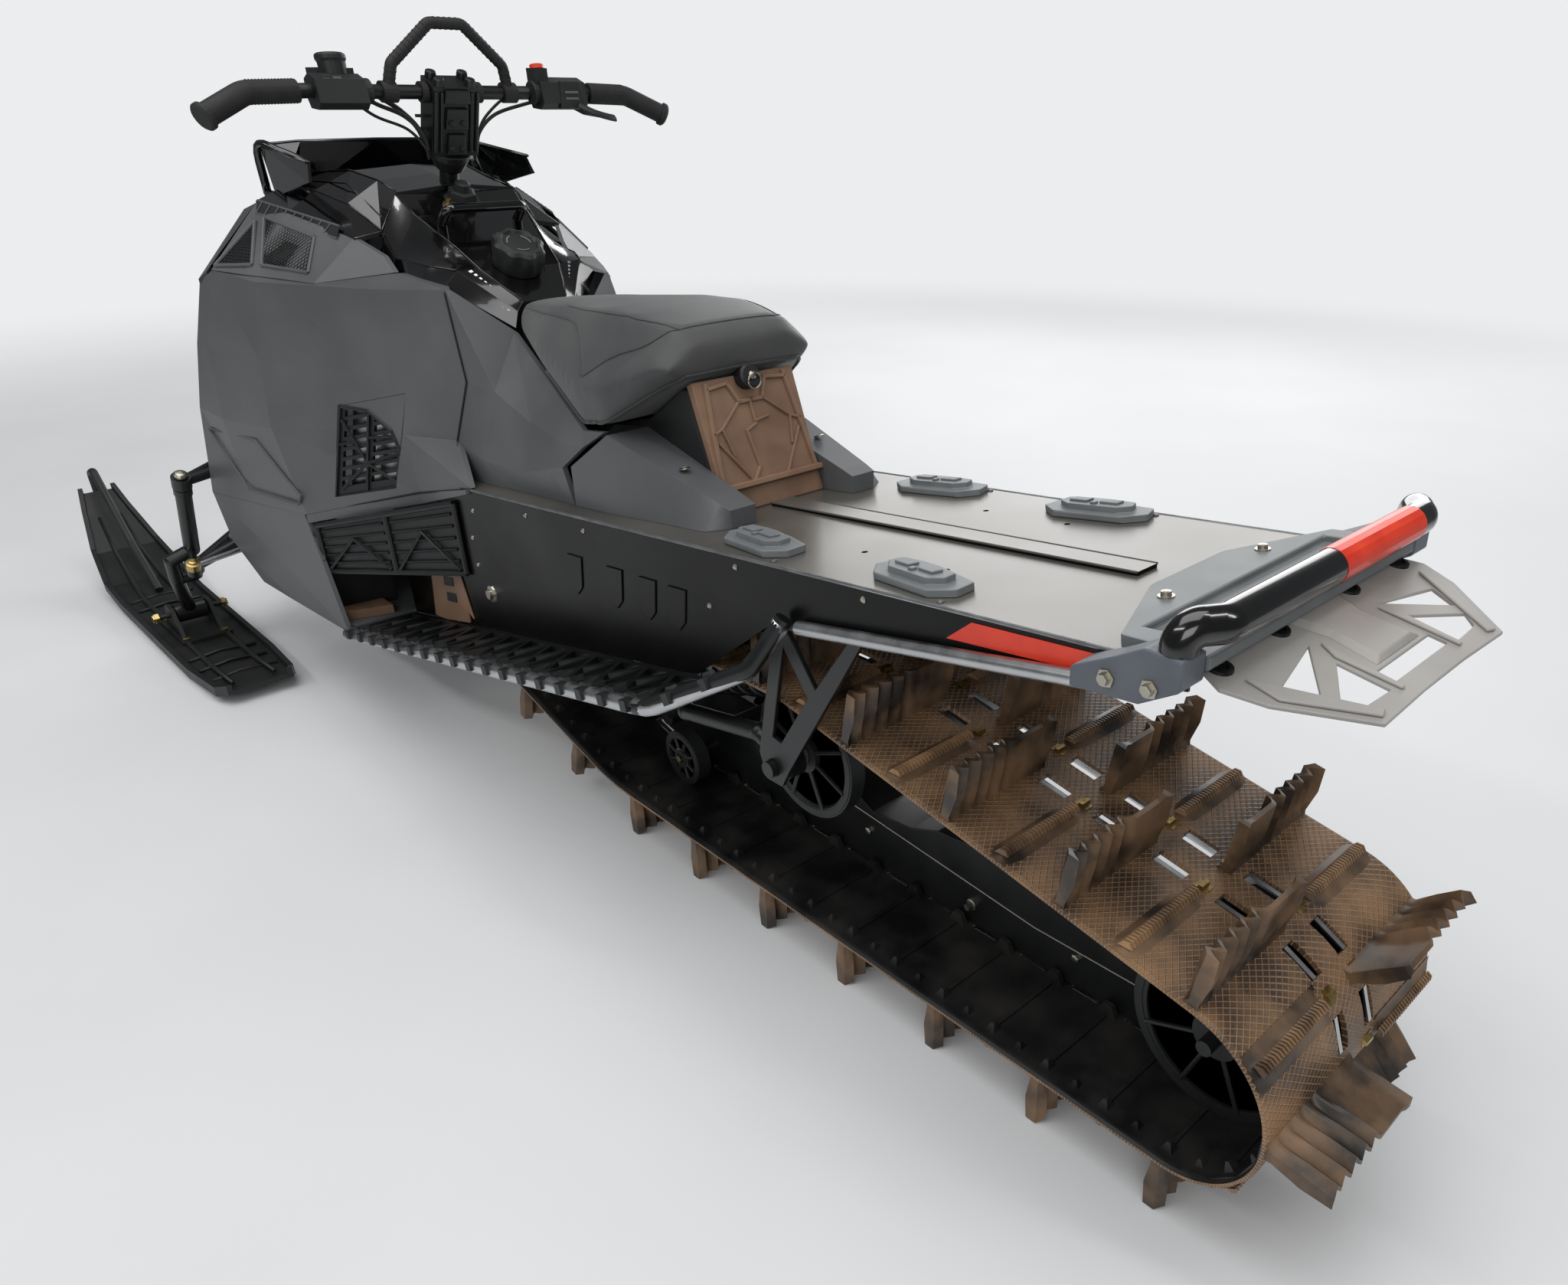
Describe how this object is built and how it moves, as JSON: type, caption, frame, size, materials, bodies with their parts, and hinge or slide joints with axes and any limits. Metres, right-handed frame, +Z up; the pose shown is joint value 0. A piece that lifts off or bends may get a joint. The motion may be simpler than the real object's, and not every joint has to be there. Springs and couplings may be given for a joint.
{
  "type": "snowmobile",
  "caption": "Deep-snow snowmobile with a long narrow lugged track, a flat rear deck, two steered skis and a raised handlebar.",
  "frame": {"origin": "middle of the vehicle's length and width, on the floor that its track lugs and ski keels stand on", "axes": "+X forward, +Y left, +Z up"},
  "size_m": [3.3374, 1.08, 1.241],
  "materials": {
    "bare_metal": "machined",
    "black_plastic": "grained",
    "bronze_plastic": "grained",
    "charcoal_plastic": "satin",
    "coated_black_metal": "powder coat",
    "dark_glass": "smoked",
    "deck_metal": "satin coat",
    "gloss_plastic": "gloss",
    "grey_plastic": "satin",
    "seat_vinyl": "grained vinyl",
    "soft_grip": "moulded",
    "track_rubber": "moulded, dusty"
  },
  "bodies": {
    "chassis": {"a_arms": "coated_black_metal", "belly_pan": "charcoal_plastic", "bumper_brackets": "grey_plastic", "console": "gloss_plastic", "console_tube": "coated_black_metal", "deck_cleats": "grey_plastic", "drive_axle": "black_plastic", "drop_brackets": "coated_black_metal", "engine_block": "bare_metal", "exhaust_pipe": "bare_metal", "footwell_liners": "black_plastic", "front_bumper": "coated_black_metal", "front_frame": "coated_black_metal", "front_shocks": "coated_black_metal", "fuel_cap": "black_plastic", "headlights": "dark_glass", "hood": "gloss_plastic", "knee_panels": "charcoal_plastic", "nose": "gloss_plastic", "rail_beam": "coated_black_metal", "rear_bumper": "gloss_plastic", "rear_covers": "charcoal_plastic", "rear_end_cap": "grey_plastic", "running_boards": "coated_black_metal", "seat": "seat_vinyl", "seat_base": "black_plastic", "seat_rear_panel": "bronze_plastic", "side_grilles": "black_plastic", "side_panels": "charcoal_plastic", "skid_arms": "coated_black_metal", "skid_dampers": "coated_black_metal", "skid_wheels": "black_plastic", "snow_flap": "grey_plastic", "toe_rests": "bronze_plastic", "track": "track_rubber", "tunnel": "deck_metal", "tunnel_edge_rails": "coated_black_metal", "vent_frames": "black_plastic", "windshield": "dark_glass"},
    "steering": {"riser": "coated_black_metal", "handlebar": "coated_black_metal", "mountain_strap": "coated_black_metal", "grips": "soft_grip", "control_pods": "black_plastic"},
    "pitman": {"pitman_arm": "coated_black_metal"},
    "spindle_left": {"spindle_left": "coated_black_metal"},
    "tie_rod_left": {"tie_rod_left": "bare_metal"},
    "ski_left": {"ski_left": "black_plastic", "ski_saddle_left": "black_plastic", "ski_loop_left": "black_plastic"},
    "spindle_right": {"spindle_right": "coated_black_metal"},
    "tie_rod_right": {"tie_rod_right": "bare_metal"},
    "ski_right": {"ski_right": "black_plastic", "ski_saddle_right": "black_plastic", "ski_loop_right": "black_plastic"}
  },
  "joints": [
    {"name": "steering", "type": "hinge", "parent": "chassis", "child": "steering", "pos_m": [0.28, 0, 1.005], "axis": [-0.4179, 0, 0.9085], "range_deg": [-36, 36]},
    {"name": "pitman_pivot", "type": "hinge", "parent": "chassis", "child": "pitman", "pos_m": [0.9703, 0, 0.27574], "axis": [-0.4848, 0, 0.8746], "range_deg": [-29.3, 29.3]},
    {"name": "kingpin_left", "type": "hinge", "parent": "chassis", "child": "spindle_left", "pos_m": [0.818, 0.434, 0.409], "axis": [-0.4848, 0, 0.8746], "range_deg": [-29.3, 29.3]},
    {"name": "tie_rod_end_left", "type": "hinge", "parent": "spindle_left", "child": "tie_rod_left", "pos_m": [0.84908, 0.455, 0.20854], "axis": [-0.4848, 0, 0.8746], "range_deg": [-29.3, 29.3]},
    {"name": "ski_pivot_left", "type": "hinge", "parent": "spindle_left", "child": "ski_left", "pos_m": [1.026, 0.452, 0.062], "axis": [0, 1, 0], "range_deg": [-15, 12]},
    {"name": "kingpin_right", "type": "hinge", "parent": "chassis", "child": "spindle_right", "pos_m": [0.818, -0.434, 0.409], "axis": [-0.4848, 0, 0.8746], "range_deg": [-29.3, 29.3]},
    {"name": "tie_rod_end_right", "type": "hinge", "parent": "spindle_right", "child": "tie_rod_right", "pos_m": [0.84908, -0.455, 0.20854], "axis": [-0.4848, 0, 0.8746], "range_deg": [-29.3, 29.3]},
    {"name": "ski_pivot_right", "type": "hinge", "parent": "spindle_right", "child": "ski_right", "pos_m": [1.026, -0.452, 0.062], "axis": [0, 1, 0], "range_deg": [-15, 12]}
  ],
  "couplings": [
    {"joint": "pitman_pivot", "follows": "steering", "ratio": 0.8},
    {"joint": "kingpin_left", "follows": "steering", "ratio": 0.8},
    {"joint": "tie_rod_end_left", "follows": "steering", "ratio": -0.8},
    {"joint": "kingpin_right", "follows": "steering", "ratio": 0.8},
    {"joint": "tie_rod_end_right", "follows": "steering", "ratio": -0.8}
  ]
}
